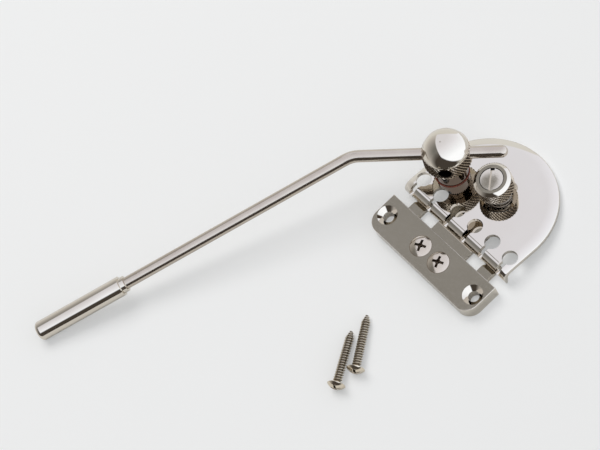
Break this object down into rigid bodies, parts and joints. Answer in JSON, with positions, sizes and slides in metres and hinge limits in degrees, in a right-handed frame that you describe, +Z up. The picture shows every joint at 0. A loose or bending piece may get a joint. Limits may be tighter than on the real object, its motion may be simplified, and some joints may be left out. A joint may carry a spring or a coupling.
{
  "type": "guitar tremolo bridge",
  "caption": "Guitar tremolo bridge: a D-shaped string plate with keyholes rocks on a screwed-down bar against a sprung knurled wheel, moved by a swinging cranked arm.",
  "frame": {"origin": "middle of the mounting bar's length and width, on its underside, which lies on the guitar's body", "axes": "+X along the bar across the strings, +Y from the bar towards the rear of the plate, +Z up from the body"},
  "size_m": [0.1354, 0.1958, 0.0307],
  "materials": {
    "polished_nickel": "polished nickel plate",
    "mirror_nickel": "mirror polished nickel plate",
    "plated_steel": "plain plated steel",
    "satin_steel": "satin drawn bar",
    "spring_steel": "drawn wire",
    "dark_steel": "blackened",
    "plated_screw": "warm nickel plate",
    "red_fibre": "vulcanised fibre"
  },
  "bodies": {
    "base": {"mounting_bar": "polished_nickel", "base_tongue": "polished_nickel", "centre_screws": "plated_screw", "pivot_lug_left": "polished_nickel", "pivot_lug_right": "polished_nickel", "tension_bush": "plated_steel"},
    "plate": {"string_plate": "mirror_nickel", "post_washer": "red_fibre", "arm_collar": "polished_nickel", "collar_grub_screw": "dark_steel", "post_nut": "plated_steel", "tension_spring": "spring_steel"},
    "head": {"arm_head": "polished_nickel", "arm_clamp_screw": "dark_steel"},
    "arm": {"arm_rod": "satin_steel", "handle_ferrule": "polished_nickel", "arm_handle": "polished_nickel"},
    "spring_cap": {"thrust_washer": "plated_steel"},
    "tension_knob": {"tension_wheel": "polished_nickel", "tension_screw": "polished_nickel"},
    "loose_screw_near": {"wood_screw_near": "plated_screw"},
    "loose_screw_far": {"wood_screw_far": "plated_screw"}
  },
  "joints": [
    {"name": "plate_hinge", "type": "hinge", "parent": "base", "child": "plate", "pos_m": [0, 0.0133, 0.0013], "axis": [1, 0, 0], "range_deg": [0, 6], "stiffness_Nm_per_rad": 4.2, "springref_deg": -3.44, "deforming": ["tension_spring"]},
    {"name": "arm_swing", "type": "hinge", "parent": "plate", "child": "head", "pos_m": [-0.0203, 0.03085, 0.00559], "axis": [0, 0.1219, 0.9925], "range_deg": [0, 50]},
    {"name": "arm_roll", "type": "hinge", "parent": "head", "child": "arm", "pos_m": [-0.0203, 0.03263, 0.02003], "axis": [-0.7034, -0.7055, 0.0866], "range_deg": [0, 75]},
    {"name": "tension_travel", "type": "slide", "parent": "base", "child": "spring_cap", "axis": [0, 0, 1], "range_m": [-0.00071, 0.00036], "deforming": ["tension_spring"]},
    {"name": "tension_turn", "type": "hinge", "parent": "spring_cap", "child": "tension_knob", "pos_m": [0, 0.0376, 0.00476], "axis": [0, 0, 1], "range_deg": [-360, 180]},
    {"name": "lift_screw_near", "type": "slide", "parent": "base", "child": "loose_screw_near", "axis": [0, 0, 1], "range_m": [0, 0.05]},
    {"name": "lift_screw_far", "type": "slide", "parent": "base", "child": "loose_screw_far", "axis": [0, 0, 1], "range_m": [0, 0.05]}
  ],
  "couplings": [
    {"joint": "tension_travel", "follows": "tension_turn", "m_per_rad": 0.00011141}
  ]
}
